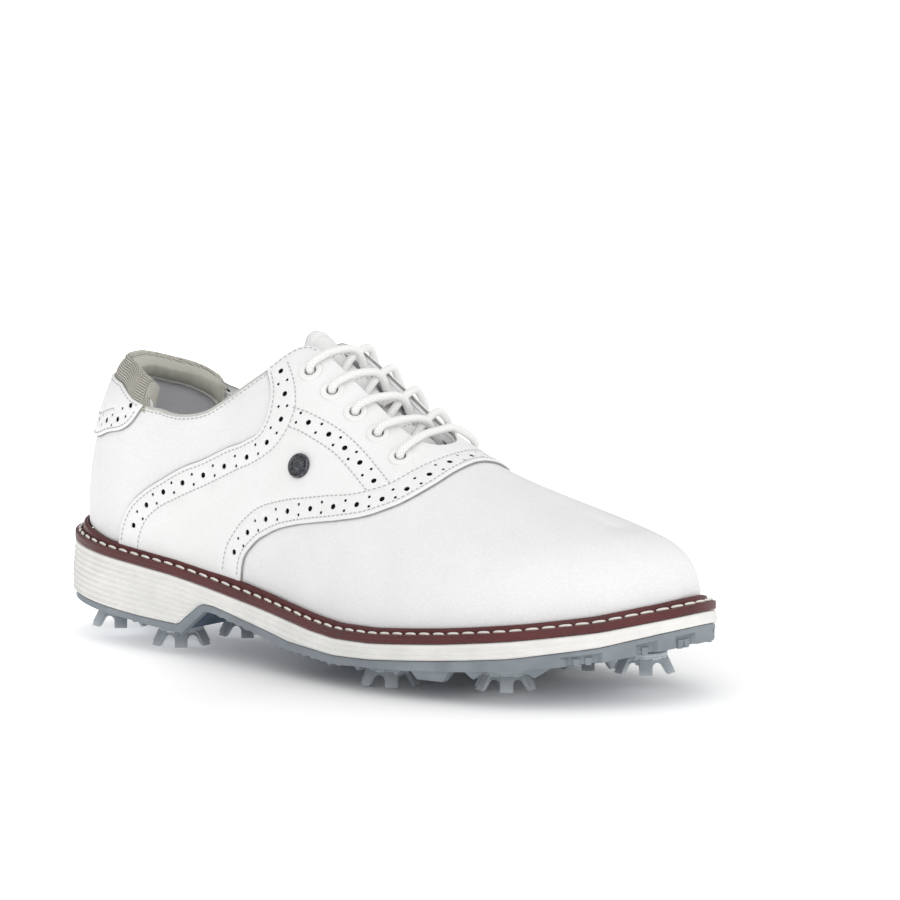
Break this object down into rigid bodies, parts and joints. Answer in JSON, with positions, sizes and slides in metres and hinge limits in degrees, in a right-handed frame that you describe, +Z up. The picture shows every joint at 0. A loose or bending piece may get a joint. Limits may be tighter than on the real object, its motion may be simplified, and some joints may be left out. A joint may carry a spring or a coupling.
{
  "type": "golf shoe",
  "caption": "Low saddle-style lace-up golf shoe for the right foot, white leather upper, burgundy storm welt, ribbed midsole and twist-in soft spikes.",
  "frame": {"origin": "middle of the bounding box in plan, at ground level under the lowest cleat tips", "axes": "+X from heel to toe, +Y to the inner (medial) side of the foot, +Z up"},
  "size_m": [0.299, 0.1074, 0.1259],
  "materials": {
    "smooth_leather": "white smooth coated leather, satin",
    "pebbled_leather": "white fine pebble-grain leather, satin",
    "grey_textile": "warm grey ribbed knit",
    "lining_textile": "mid grey brushed lining",
    "lace": "off-white round braided cord",
    "white_thread": "white waxed thread",
    "welt_leather": "dark burgundy, semi-gloss edge",
    "midsole_foam": "off-white moulded, matt",
    "outsole_rubber": "blue-grey moulded thermoplastic rubber",
    "cleat_plastic": "grey soft polyurethane",
    "receptacle_plastic": "dark nylon",
    "insole_board": "fibre board",
    "foam": "open-cell foam",
    "shank_steel": "plain steel strip",
    "eyelet_plastic": "white moulded ring",
    "badge_metal": "gunmetal plated button"
  },
  "bodies": {
    "shoe": {"outsole": "outsole_rubber", "midsole": "midsole_foam", "welt": "welt_leather", "welt_stitching": "white_thread", "insole_board": "insole_board", "heel_counter": "insole_board", "toe_puff": "insole_board", "bottom_filler": "foam", "collar_foam": "foam", "shank": "shank_steel", "collar_cover": "grey_textile", "topline_binding_lateral": "grey_textile", "topline_binding_medial": "grey_textile", "quarter_lining": "lining_textile", "vamp_lining": "lining_textile", "footbed": "lining_textile", "vamp": "pebbled_leather", "quarter_lateral": "pebbled_leather", "quarter_medial": "pebbled_leather", "saddle": "smooth_leather", "backstay_tab": "smooth_leather", "lace": "lace", "aglet_a": "lace", "aglet_b": "lace", "badge_cap": "badge_metal", "badge_washer": "badge_metal", "eyelet_lateral_1": "eyelet_plastic", "eyelet_medial_1": "eyelet_plastic", "eyelet_lateral_2": "eyelet_plastic", "eyelet_medial_2": "eyelet_plastic", "eyelet_lateral_3": "eyelet_plastic", "eyelet_medial_3": "eyelet_plastic", "eyelet_lateral_4": "eyelet_plastic", "eyelet_medial_4": "eyelet_plastic", "eyelet_lateral_5": "eyelet_plastic", "eyelet_medial_5": "eyelet_plastic", "cleat_receptacle_1": "receptacle_plastic", "cleat_receptacle_2": "receptacle_plastic", "cleat_receptacle_3": "receptacle_plastic", "cleat_receptacle_4": "receptacle_plastic", "cleat_receptacle_5": "receptacle_plastic", "cleat_receptacle_6": "receptacle_plastic", "cleat_receptacle_7": "receptacle_plastic", "cleat_receptacle_8": "receptacle_plastic"},
    "tongue": {"tongue_outer": "smooth_leather", "tongue_foam": "foam", "tongue_lining": "lining_textile", "tongue_lace_keeper": "lace"},
    "cleat_1": {"cleat_1": "cleat_plastic"},
    "cleat_2": {"cleat_2": "cleat_plastic"},
    "cleat_3": {"cleat_3": "cleat_plastic"},
    "cleat_4": {"cleat_4": "cleat_plastic"},
    "cleat_5": {"cleat_5": "cleat_plastic"},
    "cleat_6": {"cleat_6": "cleat_plastic"},
    "cleat_7": {"cleat_7": "cleat_plastic"},
    "cleat_8": {"cleat_8": "cleat_plastic"}
  },
  "joints": [
    {"name": "tongue_tilt", "type": "hinge", "parent": "shoe", "child": "tongue", "pos_m": [0.04422, 0.0034, 0.073], "axis": [0, -1, 0], "range_deg": [0, 10]},
    {"name": "cleat_1_twist", "type": "hinge", "parent": "shoe", "child": "cleat_1", "pos_m": [-0.12678, -0.0116, 0.007], "axis": [0, 0, -1], "range_deg": [0, 60]},
    {"name": "cleat_2_twist", "type": "hinge", "parent": "shoe", "child": "cleat_2", "pos_m": [-0.08848, -0.017, 0.004], "axis": [0, 0, -1], "range_deg": [0, 60]},
    {"name": "cleat_3_twist", "type": "hinge", "parent": "shoe", "child": "cleat_3", "pos_m": [-0.08278, 0.0164, 0.004], "axis": [0, 0, -1], "range_deg": [0, 60]},
    {"name": "cleat_4_twist", "type": "hinge", "parent": "shoe", "child": "cleat_4", "pos_m": [0.03422, -0.0306, 0.004], "axis": [0, 0, -1], "range_deg": [0, 60]},
    {"name": "cleat_5_twist", "type": "hinge", "parent": "shoe", "child": "cleat_5", "pos_m": [0.03422, 0.0314, 0.004], "axis": [0, 0, -1], "range_deg": [0, 60]},
    {"name": "cleat_6_twist", "type": "hinge", "parent": "shoe", "child": "cleat_6", "pos_m": [0.08422, -0.0216, 0.0068], "axis": [0, 0, -1], "range_deg": [0, 60]},
    {"name": "cleat_7_twist", "type": "hinge", "parent": "shoe", "child": "cleat_7", "pos_m": [0.07922, 0.0344, 0.007], "axis": [0, 0, -1], "range_deg": [0, 60]},
    {"name": "cleat_8_twist", "type": "hinge", "parent": "shoe", "child": "cleat_8", "pos_m": [0.12022, 0.0184, 0.012], "axis": [0, 0, -1], "range_deg": [0, 60]}
  ]
}
